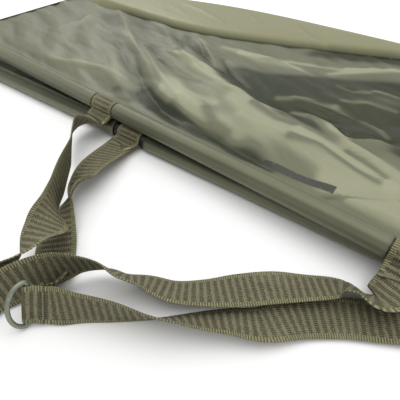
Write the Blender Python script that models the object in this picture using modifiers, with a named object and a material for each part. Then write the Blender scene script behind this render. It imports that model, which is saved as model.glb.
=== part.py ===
# A folded weigh sling: two coated cloth sides joined by a base gusset, each
# hemmed round a stiffening pole, with a webbing handle and a D-ring on each.
# X runs along the upper pole, Y from the poles to the gusset, Z up. Metres.

import math

import bpy
import numpy as np
from mathutils import Matrix, Vector

# Sling
sling_length = 1.200
sling_depth = 0.445
seam_depth = 0.265
cloth_thickness = 0.0012
fit_gap = 0.0003
weld_distance = 0.00001

# Poles and their sleeves
pole_diameter = 0.018
pole_wall = 0.0015
pole_overhang = 0.004
cap_flange = 0.0030
cap_plug = 0.0200
cap_edge = 0.0010
sleeve_wall = 0.0014
sleeve_clearance = 0.0003

# Handles
webbing_width = 0.038
webbing_thickness = 0.0018
loop_spacing = 0.392
tongue_length = 0.0108
cut_out_margin = {"lower": 0.008, "upper": 0.003}
handle_reach = 0.220
tab_length = 0.0090
tab_width = 0.0330

# D-rings
ring_wire = 0.0040
ring_depth = 0.0150
ring_corner = 0.0022
ring_clearance = 0.0004

# Bound ends
binding_diameter = 0.0044

# How the folded sling lies
lower_side_shift = 0.050
lower_pole_skew = math.radians(3.24)
pole_crossing = -0.083
seam_height = 0.036
ridge_height = 0.042
upper_dome = 0.010
fold_relief = 0.0030
loop_tilt = {"lower": math.radians(4.0), "upper": math.radians(25.0)}
tab_heading = {"lower": math.radians(40.0), "upper": math.radians(80.0)}
tab_lean = {"lower": math.radians(28.0), "upper": math.radians(26.0)}
tab_cant = {"lower": math.radians(5.0), "upper": math.radians(0.0)}
ring_rest = {"lower": math.radians(45.0), "upper": math.radians(20.0)}

# Sizes that follow
pole_radius = pole_diameter / 2
sleeve_inner = pole_radius + sleeve_clearance
sleeve_outer = sleeve_inner + sleeve_wall
loop_inner = pole_radius + sleeve_clearance
loop_outer = loop_inner + webbing_thickness
lower_axis_height = loop_outer
upper_axis_height = lower_axis_height + loop_outer + sleeve_outer + fit_gap
half_length = sling_length / 2
half_spacing = loop_spacing / 2
half_cloth = cloth_thickness / 2
half_webbing = webbing_width / 2
half_binding = binding_diameter / 2
pole_length = sling_length + 2 * pole_overhang
cut_out_half = {side: half_webbing + margin for side, margin in cut_out_margin.items()}
tongue_reach = loop_outer + tongue_length
eye_inner = ring_wire / 2 + ring_clearance
eye_outer = eye_inner + webbing_thickness
hinge_height = seam_height + half_cloth
panel_start = max(sleeve_outer, loop_outer) + fit_gap

# Share of the depth that the outline loses at its ends, and how suddenly
corner_share = 0.38
corner_power = 3.0
# Share of the gusset's reach that is tucked back under it
tuck_share = 0.10
# Share of the lower side in which it falls from its sleeve to the floor
fall_share = 0.2

# Main folds of the upper side: start, slope, spread and gain, as shares
fold_shares = (
    (-0.62, 0.55, 0.30, 0.9),
    (-0.30, 0.62, 0.22, 1.0),
    (0.02, 0.48, 0.26, -0.8),
    (0.30, 0.60, 0.24, 1.0),
    (0.62, 0.45, 0.28, 0.7),
)

# Routes of the strap halves: shares of half the loop spacing, of the handle's reach and of
# the webbing's width, then the roll in degrees
lower_left_shares = (
    (-0.94, -0.34, 0.47, 10),
    (-0.89, -0.47, 0.45, 28),
    (-0.85, -0.55, 0.45, 62),
    (-0.82, -0.63, 0.32, 42),
    (-0.75, -0.72, 0.16, 14),
    (-0.67, -0.79, 0.08, 0),
    (-0.60, -0.85, 0.08, 0),
    (-0.54, -0.90, 0.08, 0),
    (-0.49, -0.93, 0.08, 0),
    (-0.45, -0.95, 0.13, 8),
)
lower_right_shares = (
    (-0.27, -0.96, 0.52, 82),
    (-0.12, -0.88, 0.50, 98),
    (0.02, -0.81, 0.45, 120),
    (0.13, -0.73, 0.32, 138),
    (0.24, -0.65, 0.24, 152),
    (0.35, -0.58, 0.16, 165),
    (0.46, -0.47, 0.11, 178),
    (0.59, -0.38, 0.11, 180),
    (0.73, -0.31, 0.13, 180),
    (0.85, -0.25, 0.18, 180),
    (0.95, -0.20, 0.22, 180),
)
upper_left_shares = (
    (-0.98, -0.25, 0.79, 62),
    (-0.88, -0.34, 0.80, 71),
    (-0.79, -0.40, 0.81, 77),
    (-0.71, -0.49, 0.73, 85),
    (-0.61, -0.58, 0.80, 89),
    (-0.52, -0.67, 0.80, 91),
    (-0.43, -0.73, 0.82, 119),
    (-0.37, -0.79, 0.88, 163),
    (-0.34, -0.86, 0.94, 198),
    (-0.32, -0.94, 0.82, 224),
    (-0.34, -1.01, 0.69, 240),
    (-0.35, -1.07, 0.54, 269),
    (-0.34, -1.12, 0.42, 270),
)
upper_right_shares = (
    (-0.26, -1.08, 0.52, 72),
    (-0.21, -0.98, 0.64, 74),
    (-0.16, -0.89, 0.68, 84),
    (-0.10, -0.83, 0.74, 104),
    (-0.01, -0.77, 0.70, 118),
    (0.08, -0.74, 0.56, 130),
    (0.16, -0.69, 0.40, 142),
    (0.27, -0.64, 0.26, 152),
    (0.38, -0.56, 0.24, 160),
    (0.48, -0.47, 0.24, 170),
    (0.59, -0.37, 0.24, 170),
    (0.70, -0.29, 0.24, 160),
    (0.81, -0.22, 0.30, 150),
    (0.89, -0.21, 0.42, 132),
    (0.96, -0.20, 0.47, 152),
)
# The middle of each ring tab's sewn end, in the same shares
tab_end_shares = {"lower": (-0.39, -1.02, 0.48), "upper": (-0.27, -1.14, 0.52)}

collection = None


def clear_scene():
    for obj in list(bpy.data.objects):
        bpy.data.objects.remove(obj, do_unlink=True)


def new_collection(name):
    made = bpy.data.collections.new(name)
    bpy.context.scene.collection.children.link(made)
    return made


def material(name, colour, roughness, metallic=0.0):
    made = bpy.data.materials.new(name)
    made.use_nodes = True
    shader = made.node_tree.nodes["Principled BSDF"]
    shader.inputs["Base Color"].default_value = (*colour, 1.0)
    shader.inputs["Roughness"].default_value = roughness
    shader.inputs["Metallic"].default_value = metallic
    return made


def link(obj, finish):
    collection.objects.link(obj)
    obj.data.materials.append(finish)
    if obj.type == "MESH":
        obj.data.shade_smooth()
        obj.data.set_sharp_from_angle(angle=math.radians(40))
    return obj


# An empty that moving pieces hang from, on their joint's axis
def pivot(name, place, parent):
    empty = bpy.data.objects.new(name, None)
    empty.empty_display_size = webbing_width
    collection.objects.link(empty)
    empty.matrix_world = Matrix.Translation(place)
    if parent is not None:
        hang([empty], parent)
    return empty


def hang(objects, parent):
    bpy.context.view_layer.update()
    for obj in objects:
        obj.parent = parent
        obj.matrix_parent_inverse = parent.matrix_world.inverted()


# A mesh from a grid of points, rows by columns
def grid_mesh(name, points):
    rows, columns = points.shape[:2]
    mesh = bpy.data.meshes.new(name)
    corner = np.arange(rows * columns).reshape(rows, columns)
    quads = np.stack(
        [corner[:-1, :-1], corner[1:, :-1], corner[1:, 1:], corner[:-1, 1:]], axis=-1
    ).reshape(-1, 4)
    mesh.from_pydata(points.reshape(-1, 3).tolist(), [], quads.tolist())
    mesh.update()
    return mesh


# An open sheet given its thickness, half on each side
def sheet(name, points, thickness, finish):
    obj = link(bpy.data.objects.new(name, grid_mesh(name, points)), finish)
    skin = obj.modifiers.new("Thickness", "SOLIDIFY")
    skin.thickness = thickness
    skin.offset = 0.0
    skin.use_even_offset = False
    return obj


# A wire of round section along points
def wire(name, points, diameter, finish, closed=False):
    curve = bpy.data.curves.new(name, "CURVE")
    curve.dimensions = "3D"
    curve.bevel_depth = diameter / 2
    curve.bevel_resolution = 2
    curve.use_fill_caps = True
    spline = curve.splines.new("POLY")
    spline.points.add(len(points) - 1)
    for point, place in zip(spline.points, points):
        point.co = (*place, 1.0)
    spline.use_cyclic_u = closed
    return link(bpy.data.objects.new(name, curve), finish)


# A flat outline with holes, extruded to a width
def flat_piece(name, outlines, width, finish):
    curve = bpy.data.curves.new(name, "CURVE")
    curve.dimensions = "2D"
    curve.fill_mode = "BOTH"
    curve.extrude = width / 2
    for outline in outlines:
        spline = curve.splines.new("POLY")
        spline.points.add(len(outline) - 1)
        for point, place in zip(spline.points, outline):
            point.co = (place[0], place[1], 0.0, 1.0)
        spline.use_cyclic_u = True
    return link(bpy.data.objects.new(name, curve), finish)


# A piece turned about its own X axis, from (distance along, radius) pairs that run up the
# inner side and down the outer one; a hollow piece's profile closes on itself
def turned(name, profile, finish, hollow):
    mesh = bpy.data.meshes.new(name)
    points = [(along, radius, 0.0) for along, radius in profile]
    count = len(points)
    edges = [(i, (i + 1) % count) for i in range(count if hollow else count - 1)]
    mesh.from_pydata(points, edges, [])
    obj = link(bpy.data.objects.new(name, mesh), finish)
    screw = obj.modifiers.new("Turn", "SCREW")
    screw.axis = "X"
    screw.steps = 24
    screw.render_steps = 24
    screw.use_merge_vertices = True
    screw.merge_threshold = weld_distance
    return obj


def smooth_step(value):
    value = np.clip(value, 0.0, 1.0)
    return value * value * (3.0 - 2.0 * value)


# Distance from the upper pole to the far outline at a place along the sling
def outline_depth(along):
    return sling_depth * (1.0 - corner_share * np.abs(along / half_length) ** corner_power)


# The floor below a pole: its middle and its turn about Z
def pole_ground(side):
    if side == "upper":
        return Matrix.Identity(4)
    offset = (lower_side_shift - pole_crossing) * math.tan(lower_pole_skew)
    turn = Matrix.Rotation(lower_pole_skew, 4, "Z")
    return Matrix.Translation((lower_side_shift, offset, 0.0)) @ turn


def pole_frame(side):
    height = lower_axis_height if side == "lower" else upper_axis_height
    return pole_ground(side) @ Matrix.Translation((0.0, 0.0, height))


# Height of the folds at shares along and across the cloth
def fold_height(along, across):
    height = np.zeros_like(along * across)
    for start, slope, spread, gain in fold_shares:
        distance = (along - start - slope * (1.0 - across)) / spread
        height = height + gain * np.exp(-distance * distance)
    return fold_relief * height * np.sin(math.pi * across)


# Upper side: from the back of its sleeve it domes and falls to the base seam
def upper_panel(finish):
    along, across = np.meshgrid(np.linspace(-1, 1, 29), np.linspace(0, 1, 11), indexing="ij")
    x = half_length * along
    y = panel_start + (seam_depth - fit_gap - panel_start) * across
    z = upper_axis_height + (seam_height - upper_axis_height) * across
    z = z + upper_dome * np.sin(math.pi * across) * (1.0 - along**4)
    z = z + fold_height(along, across)
    return sheet("upper_panel", np.stack([x, y, z], axis=-1), cloth_thickness, finish)


# Base gusset: from the seam over a ridge, round the far outline and under to the floor
def base_gusset(finish):
    along, turn = np.meshgrid(np.linspace(-1, 1, 29), np.linspace(0, 1, 15), indexing="ij")
    x = half_length * along
    near = seam_depth + fit_gap
    reach = outline_depth(x) - near
    top = smooth_step(turn / 0.55)
    under = smooth_step((turn - 0.45) / 0.55)
    y = near + reach * np.sin(0.5 * math.pi * np.minimum(turn / 0.68, 1.0))
    y = y - tuck_share * reach * smooth_step((turn - 0.68) / 0.32)
    crown = ridge_height + (seam_height - ridge_height) * (1.0 - top)
    z = crown + (half_cloth - crown) * under
    return sheet("base_gusset", np.stack([x, y, z], axis=-1), cloth_thickness, finish)


# Where the lower side meets the gusset's tucked edge
def tuck_depth(along):
    reach = outline_depth(along) - seam_depth - fit_gap
    return seam_depth + fit_gap + (1.0 - tuck_share) * reach


# Places of the lower side's cloth at shares along and across it
def lower_places(along, across, start, finish_depth, outset, rest):
    ground = np.array(pole_ground("lower"))
    near_along = half_length * along + outset
    near_x = ground[0, 3] + ground[0, 0] * near_along + ground[0, 1] * start
    near_y = ground[1, 3] + ground[1, 0] * near_along + ground[1, 1] * start
    x = near_x + (half_length * along + outset - near_x) * across
    y = near_y + (finish_depth - near_y) * across
    z = rest + (lower_axis_height - rest) * (1.0 - smooth_step(across / fall_share))
    return np.stack([x, y, z], axis=-1)


# Lower side: from the back of its own sleeve down to the floor and flat to the gusset
def lower_panel(finish):
    along, across = np.meshgrid(np.linspace(-1, 1, 29), np.linspace(0, 1, 11), indexing="ij")
    end = tuck_depth(half_length * along) - half_cloth - fit_gap
    points = lower_places(along, across, panel_start, end, 0.0, half_cloth)
    return sheet("lower_panel", points, cloth_thickness, finish)


# The three lengths of a sleeve, between its ends and its two cut-outs
def sleeves(side, finish):
    inner = half_spacing - cut_out_half[side]
    outer = half_spacing + cut_out_half[side]
    spans = {"left": (-half_length, -outer), "centre": (-inner, inner), "right": (outer, half_length)}
    made = []
    for name, (low, high) in spans.items():
        profile = [
            (low, sleeve_inner), (high, sleeve_inner),
            (high, sleeve_outer), (low, sleeve_outer),
        ]
        obj = turned(f"{side}_sleeve_{name}", profile, finish, True)
        obj.matrix_world = pole_frame(side)
        made.append(obj)
    return made


# A pole: a tube with a plug and flange pushed into each end
def pole(side, tube_finish, cap_finish):
    half = pole_length / 2
    bore = pole_radius - pole_wall
    profile = [(-half, bore), (half, bore), (half, pole_radius), (-half, pole_radius)]
    tube = turned(f"{side}_pole_tube", profile, tube_finish, True)
    tube.matrix_world = pole_frame(side)
    plug = bore - fit_gap
    seat = half + fit_gap
    profile = [
        (half - cap_plug, 0.0), (half - cap_plug, plug), (seat, plug), (seat, pole_radius),
        (seat + cap_flange - cap_edge, pole_radius), (seat + cap_flange, pole_radius - cap_edge),
        (seat + cap_flange, 0.0),
    ]
    made = [tube]
    for name, turn in (("left", math.pi), ("right", 0.0)):
        cap = turned(f"{side}_pole_cap_{name}", profile[::-1], cap_finish, False)
        cap.matrix_world = pole_frame(side) @ Matrix.Rotation(turn, 4, "Z")
        made.append(cap)
    return made


# Outline of webbing folded round a rod, its two layers sewn together up to an end
def fold_outlines(inner, outer, end, count):
    leave = math.asin(webbing_thickness / outer)
    turns = np.linspace(leave, 2 * math.pi - leave, count)
    outline = [(outer * math.cos(a), outer * math.sin(a)) for a in turns]
    outline += [(end, -webbing_thickness), (end, webbing_thickness)]
    ring = np.linspace(0, 2 * math.pi, count)[:-1]
    hole = [(inner * math.cos(a), inner * math.sin(a)) for a in ring]
    return [outline, hole]


# Webbing round the pole with a short sewn tongue, tilted down about the pole
def pole_loop(side, name, along, finish):
    outlines = fold_outlines(loop_inner, loop_outer, tongue_reach, 25)
    obj = flat_piece(f"{side}_loop_{name}", outlines, webbing_width, finish)
    facing = Matrix(((0, 0, -1, 0), (-1, 0, 0, 0), (0, 1, 0, 0), (0, 0, 0, 1)))
    turn = Matrix.Rotation(loop_tilt[side], 4, "X")
    obj.matrix_world = pole_frame(side) @ Matrix.Translation((along, 0.0, 0.0)) @ turn @ facing
    return obj


# Points of a smooth path through rows of place and roll
def smooth_path(rows, step):
    rows = np.array(rows, float)
    padded = np.vstack([2 * rows[0] - rows[1], rows, 2 * rows[-1] - rows[-2]])
    out = []
    for i in range(len(rows) - 1):
        before, here, after, later = padded[i : i + 4]
        count = max(1, round(float(np.linalg.norm(after[:3] - here[:3])) / step))
        for t in np.arange(count) / count:
            out.append(
                0.5 * (
                    2 * here
                    + (after - before) * t
                    + (2 * before - 5 * here + 4 * after - later) * t**2
                    + (3 * here - before - 3 * after + later) * t**3
                )
            )
    out.append(rows[-1])
    return np.array(out)


# A ribbon of webbing along a path, turned about it by its roll: 0 lies flat, 90 is on edge
def ribbon(name, rows, finish):
    path = smooth_path(rows, webbing_width / 6)
    centre = path[:, :3]
    forward = np.gradient(centre, axis=0)
    forward /= np.linalg.norm(forward, axis=1)[:, None]
    side = np.cross([0.0, 0.0, 1.0], forward)
    side /= np.linalg.norm(side, axis=1)[:, None]
    upward = np.cross(forward, side)
    roll = np.radians(path[:, 3])[:, None]
    across = np.cos(roll) * side + np.sin(roll) * upward
    spans = np.linspace(-half_webbing, half_webbing, 3)
    points = centre[:, None, :] + across[:, None, :] * spans[None, :, None]
    points[..., 2] = np.maximum(points[..., 2], webbing_thickness / 2 + fit_gap)
    return sheet(name, points, webbing_thickness, finish)


def route(side, shares):
    ground = pole_ground(side)
    rows = []
    for along, reach, height, roll in shares:
        local = (half_spacing * along, handle_reach * reach, webbing_width * height)
        rows.append((*(ground @ Vector(local)), roll))
    return rows


# The two rows where a strap half leaves a pole loop, flat across its tongue
def loop_rows(side, along, roll):
    turn = Matrix.Rotation(loop_tilt[side], 4, "X")
    rows = []
    for reach in (tongue_reach + fit_gap, tongue_reach + tongue_length / 2):
        tip = turn @ Vector((0.0, -reach, 0.0))
        rows.append((*(pole_frame(side) @ Vector((along, tip.y, tip.z))), roll))
    return rows


# The frame of a ring tab: X from the ring's bar to the sewn end, Z along the bar
def tab_frame(side):
    along, reach, height = tab_end_shares[side]
    local = (half_spacing * along, handle_reach * reach, webbing_width * height)
    end = pole_ground(side) @ Vector(local)
    turn = Matrix.Rotation(tab_heading[side], 4, "Z") @ Matrix.Rotation(-tab_lean[side], 4, "X")
    turn = turn @ Matrix.Rotation(tab_cant[side], 4, "Y")
    bar = end - turn @ Vector((tab_length + eye_outer, 0.0, 0.0))
    return Matrix.Translation(bar) @ turn


# The two rows where a strap half leaves a ring tab's sewn end
def tab_end_rows(side, roll):
    end = eye_outer + tab_length
    frame = tab_frame(side)
    rows = []
    for reach in (end + fit_gap, end + tab_length / 2):
        rows.append((*(frame @ Vector((reach, 0.0, 0.0))), roll))
    return rows


# The two rows where a strap half is sewn edge on to the back of a ring tab
def tab_back_rows(side, roll):
    along = eye_outer + tab_length - webbing_thickness
    frame = tab_frame(side)
    rows = []
    for offset in (tab_length, webbing_thickness + 3 * fit_gap):
        rows.append((*(frame @ Vector((along, offset, 0.0))), roll))
    return rows


# A fold of webbing round the ring's bar
def ring_tab(side, finish):
    outlines = fold_outlines(eye_inner, eye_outer, eye_outer + tab_length, 17)
    obj = flat_piece(f"{side}_ring_tab", outlines, tab_width, finish)
    obj.matrix_world = tab_frame(side)
    return obj


# A D-ring: a straight bar through the fold and a bow beyond it
def d_ring(side, finish):
    straight = tab_width / 2 + fit_gap
    half_bar = straight + ring_corner
    points = [(0.0, 0.0, z) for z in np.linspace(-straight, straight, 5)]
    for a in np.linspace(0.0, math.pi / 2, 4)[1:]:
        points.append((-ring_corner * (1 - math.cos(a)), 0.0, straight + ring_corner * math.sin(a)))
    bow = ring_depth - ring_corner
    for a in np.linspace(math.pi / 2, -math.pi / 2, 21)[1:-1]:
        points.append((-ring_corner - bow * math.cos(a), 0.0, half_bar * math.sin(a)))
    for a in np.linspace(math.pi / 2, 0.0, 4)[:-1]:
        points.append((-ring_corner * (1 - math.cos(a)), 0.0, -straight - ring_corner * math.sin(a)))
    obj = wire(f"{side}_d_ring", points, ring_wire, finish, closed=True)
    obj.matrix_world = tab_frame(side) @ Matrix.Rotation(ring_rest[side], 4, "Z")
    return obj


# Rounded tape along the two end edges of the upper side
def upper_bindings(finish):
    start = sleeve_outer + half_binding
    across = np.linspace(0.0, 1.0, 13)
    y = start + (seam_depth - binding_diameter - start) * across
    z = upper_axis_height + (seam_height - upper_axis_height) * across
    made = []
    for name, sign in (("left", -1.0), ("right", 1.0)):
        x = sign * (half_length + half_binding + fit_gap)
        points = [(x, depth, height) for depth, height in zip(y, z)]
        made.append(wire(f"upper_binding_{name}", points, binding_diameter, finish))
    return made


def lower_bindings(finish):
    across = np.linspace(0.0, 1.0, 13)
    end = tuck_depth(half_length) - half_binding
    made = []
    for name, sign in (("left", -1.0), ("right", 1.0)):
        outset = sign * (half_binding + fit_gap)
        start = sleeve_outer + half_binding
        points = lower_places(sign, across, start, end, outset, half_binding)
        made.append(wire(f"lower_binding_{name}", points, binding_diameter, finish))
    return made


def strap(side, webbing):
    left_shares, right_shares, back_roll, end_roll = {
        "lower": (lower_left_shares, lower_right_shares, 90, 62),
        "upper": (upper_left_shares, upper_right_shares, 270, 64),
    }[side]
    left = loop_rows(side, -half_spacing, 0) + route(side, left_shares)
    left = left + tab_back_rows(side, back_roll)
    right = tab_end_rows(side, end_roll) + route(side, right_shares)
    right = right + loop_rows(side, half_spacing, 180)[::-1]
    return [
        pole_loop(side, "left", -half_spacing, webbing),
        pole_loop(side, "right", half_spacing, webbing),
        ribbon(f"{side}_web_left", left, webbing),
        ribbon(f"{side}_web_right", right, webbing),
        ring_tab(side, webbing),
    ]


# Moves the whole sling so that the middle of its box's underside is the origin
def centre(root):
    bpy.context.view_layer.update()
    low = Vector((math.inf,) * 3)
    high = Vector((-math.inf,) * 3)
    depsgraph = bpy.context.evaluated_depsgraph_get()
    for obj in collection.objects:
        if obj.type == "EMPTY":
            continue
        seen = obj.evaluated_get(depsgraph)
        for vertex in seen.to_mesh().vertices:
            place = seen.matrix_world @ vertex.co
            low = Vector(map(min, low, place))
            high = Vector(map(max, high, place))
        seen.to_mesh_clear()
    root.location = (-(low.x + high.x) / 2, -(low.y + high.y) / 2, -low.z)
    bpy.context.view_layer.update()


def build():
    cloth = material("coated_cloth", (0.150, 0.150, 0.095), 0.45)
    gusset_cloth = material("gusset_cloth", (0.180, 0.172, 0.105), 0.50)
    tape = material("binding_tape", (0.075, 0.078, 0.050), 0.80)
    webbing = material("webbing", (0.125, 0.120, 0.065), 0.90)
    tube = material("pole_tube", (0.012, 0.012, 0.012), 0.45)
    plastic = material("cap_plastic", (0.010, 0.010, 0.010), 0.55)
    steel = material("ring_metal", (0.200, 0.215, 0.175), 0.35, 0.6)

    root = pivot("sling_root", Vector((0.0, 0.0, 0.0)), None)
    fixed = [lower_panel(cloth), base_gusset(gusset_cloth)]
    hang(fixed + sleeves("lower", cloth) + lower_bindings(tape), root)
    upper_side = pivot("upper_side_pivot", Vector((0.0, seam_depth, hinge_height)), root)
    hang([upper_panel(cloth)] + sleeves("upper", cloth) + upper_bindings(tape), upper_side)
    for side, carrier in (("lower", root), ("upper", upper_side)):
        spin = pivot(f"{side}_pole_pivot", pole_frame(side).translation, carrier)
        hang(pole(side, tube, plastic), spin)
        swing = pivot(f"{side}_strap_pivot", pole_frame(side).translation, carrier)
        hang(strap(side, webbing), swing)
        turn = pivot(f"{side}_ring_pivot", tab_frame(side).translation, swing)
        hang([d_ring(side, steel)], turn)
    centre(root)


clear_scene()
collection = new_collection("weigh_sling")
build()
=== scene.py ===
import math

import bmesh
import bpy
import numpy as np
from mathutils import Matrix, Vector


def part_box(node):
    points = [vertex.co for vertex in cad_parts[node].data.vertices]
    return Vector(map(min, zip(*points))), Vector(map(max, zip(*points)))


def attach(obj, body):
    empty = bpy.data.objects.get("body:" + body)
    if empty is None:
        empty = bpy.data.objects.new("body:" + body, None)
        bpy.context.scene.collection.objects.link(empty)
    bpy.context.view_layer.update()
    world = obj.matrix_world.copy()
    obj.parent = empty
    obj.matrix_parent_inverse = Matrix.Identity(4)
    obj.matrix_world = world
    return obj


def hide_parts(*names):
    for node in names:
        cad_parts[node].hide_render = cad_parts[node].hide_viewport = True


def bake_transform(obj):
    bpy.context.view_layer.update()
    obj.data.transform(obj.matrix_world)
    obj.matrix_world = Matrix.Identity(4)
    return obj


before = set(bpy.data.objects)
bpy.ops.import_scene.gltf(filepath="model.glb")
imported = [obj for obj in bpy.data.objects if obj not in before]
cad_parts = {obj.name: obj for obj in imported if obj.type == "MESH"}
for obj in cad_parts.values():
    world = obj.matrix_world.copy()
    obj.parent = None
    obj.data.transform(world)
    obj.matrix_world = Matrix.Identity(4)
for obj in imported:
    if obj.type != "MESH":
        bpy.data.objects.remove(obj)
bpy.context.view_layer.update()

# Sizes of the sling, in metres, and how it lies
sling = {
    "halfLength": 0.600, "depth": 0.445, "seamDepth": 0.265, "seamHeight": 0.036,
    "ridgeHeight": 0.042, "dome": 0.010, "cloth": 0.0012, "sleeveOuter": 0.0107,
    "cornerShare": 0.38, "cornerPower": 3.0, "tuckShare": 0.10, "tuckGap": 0.0009,
    "fallShare": 0.2, "halfSpacing": 0.196, "cutOutHalf": {"lower": 0.027, "upper": 0.0205},
    "axis": {"lower": 0.0111, "upper": 0.0332},
    "lowerShift": 0.050, "lowerSkew": 3.24, "crossing": -0.083,
}
halfLength, halfSpacing = sling["halfLength"], sling["halfSpacing"]
tubeLow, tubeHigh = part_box("upper_pole_tube")
origin = np.array((tubeLow + tubeHigh) / 2) - np.array([0.0, 0.0, sling["axis"]["upper"]])


# A 4 by 4 matrix that shifts by x, y and z
def shift(x, y, z):
    made = np.eye(4)
    made[:3, 3] = x, y, z
    return made


# A 4 by 4 matrix that turns by degrees about the axis of that number
def turn(axis, degrees):
    made = np.eye(4)
    one, two = (axis + 1) % 3, (axis + 2) % 3
    cosine, sine = math.cos(math.radians(degrees)), math.sin(math.radians(degrees))
    made[one, one], made[one, two], made[two, one], made[two, two] = cosine, -sine, sine, cosine
    return made


# Points of a frame moved into the one around it
def moved(matrix, points):
    return np.asarray(points) @ matrix[:3, :3].T + matrix[:3, 3]


# The floor below a pole, turned with it
def poleGround(side):
    if side == "upper":
        return shift(*origin)
    skew = sling["lowerSkew"]
    offset = (sling["lowerShift"] - sling["crossing"]) * math.tan(math.radians(skew))
    return shift(*origin) @ shift(sling["lowerShift"], offset, 0.0) @ turn(2, skew)


def poleFrame(side):
    return poleGround(side) @ shift(0.0, 0.0, sling["axis"][side])


# 3t^2 - 2t^3 between 0 and 1, flat outside
def smoothStep(value):
    value = np.clip(value, 0.0, 1.0)
    return value * value * (3.0 - 2.0 * value)


# 0 up to the start and 1 from a width beyond it, smooth between
def ramp(value, start, width):
    return smoothStep((value - start) / width)


# Coordinates joined into points, on a last axis
def joined(*parts):
    return np.stack(np.broadcast_arrays(*parts), axis=-1)


def unit(rows):
    return rows / np.linalg.norm(rows, axis=1)[:, None]


# Length run at each point of a path
def runAlong(path):
    return np.concatenate([[0.0], np.cumsum(np.linalg.norm(np.diff(path, axis=0), axis=1))])


# Wraps a number socket, so that an expression adds its Math nodes
class Value:
    def __init__(self, nodes, socket):
        self.nodes, self.socket = nodes, socket

    def math(self, operation, *others, swap=False):
        parts = [self, *others]
        if swap:
            parts.reverse()
        inputs = {i: p.socket if isinstance(p, Value) else p for i, p in enumerate(parts)}
        return Value(self.nodes, self.nodes.add("Math", inputs, operation=operation).outputs[0])

    def __add__(self, other):
        return self.math("ADD", other)

    def __sub__(self, other):
        return self.math("SUBTRACT", other)

    def __rsub__(self, other):
        return self.math("SUBTRACT", other, swap=True)

    def __mul__(self, other):
        return self.math("MULTIPLY", other)

    __radd__ = __add__
    __rmul__ = __mul__

    # 0 below low, 1 above high, smooth between
    def step(self, low, high):
        inputs = {"Value": self.socket, "From Min": low, "From Max": high}
        made = self.nodes.add("MapRange", inputs, interpolation_type="SMOOTHSTEP")
        return Value(self.nodes, made.outputs[0])

    # Its sine or cosine, once round in each length
    def wave(self, length, kind="SINE"):
        return (self * (2 * math.pi / length)).math(kind)


# A material's nodes around its Principled shader
class Finish:
    def __init__(self, name, roughness, metallic=0.0, **fixed):
        self.material = bpy.data.materials.new(name)
        self.material.use_nodes = True
        self.tree = self.material.node_tree
        self.shader = self.tree.nodes["Principled BSDF"]
        self.set(self.shader, {"Roughness": roughness, "Metallic": metallic})
        self.set(self.shader, {key.replace("_", " "): value for key, value in fixed.items()})

    def set(self, node, inputs):
        for key, value in inputs.items():
            if isinstance(value, Value):
                value = value.socket
            if isinstance(value, bpy.types.NodeSocket):
                self.tree.links.new(value, node.inputs[key])
            else:
                node.inputs[key].default_value = value

    def add(self, kind, inputs=None, **settings):
        node = self.tree.nodes.new("ShaderNode" + kind)
        for key, value in settings.items():
            setattr(node, key, value)
        self.set(node, inputs or {})
        return node

    # The first two numbers of a vector
    def pair(self, where):
        split = self.add("SeparateXYZ", {0: where})
        return Value(self, split.outputs[0]), Value(self, split.outputs[1])

    # The piece's own place along x and y, in metres
    def place(self):
        return self.pair(self.add("TexCoord").outputs["Object"])

    # The two numbers of the piece's UV map
    def surface(self):
        return self.pair(self.add("UVMap", uv_map="weave").outputs[0])

    def attribute(self, name):
        return Value(self, self.add("Attribute", attribute_name=name).outputs["Fac"])

    def noise(self, scale, detail=3.0, rough=0.5, where=None):
        where = where or self.add("TexCoord").outputs["Object"]
        inputs = {"Vector": where, "Scale": scale, "Detail": detail, "Roughness": rough}
        return Value(self, self.add("TexNoise", inputs).outputs[0])

    # Noise drawn out along a heading, with its own scale along and across it
    def streaks(self, heading, alongScale, acrossScale):
        x, y = self.place()
        cosine, sine = math.cos(heading), math.sin(heading)
        along, across = (x * cosine + y * sine) * alongScale, (y * cosine - x * sine) * acrossScale
        return self.noise(1.0, where=self.add("CombineXYZ", {0: along, 1: across}).outputs[0])

    def mix(self, factor, one, two):
        made = self.add("Mix", {0: factor}, data_type="RGBA")
        for index, colour in ((6, one), (7, two)):
            if isinstance(colour, tuple):
                made.inputs[index].default_value = (*colour, 1.0)
            else:
                self.tree.links.new(colour, made.inputs[index])
        return made.outputs[2]

    def colour(self, socket):
        self.tree.links.new(socket, self.shader.inputs["Base Color"])

    def bump(self, height, distance, strength=1.0):
        made = self.add("Bump", {"Strength": strength, "Distance": distance, "Height": height})
        self.tree.links.new(made.outputs[0], self.shader.inputs["Normal"])


# A new object of some data, in the scene
def linked(name, data):
    obj = bpy.data.objects.new(name, data)
    bpy.context.scene.collection.objects.link(obj)
    return obj


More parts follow.
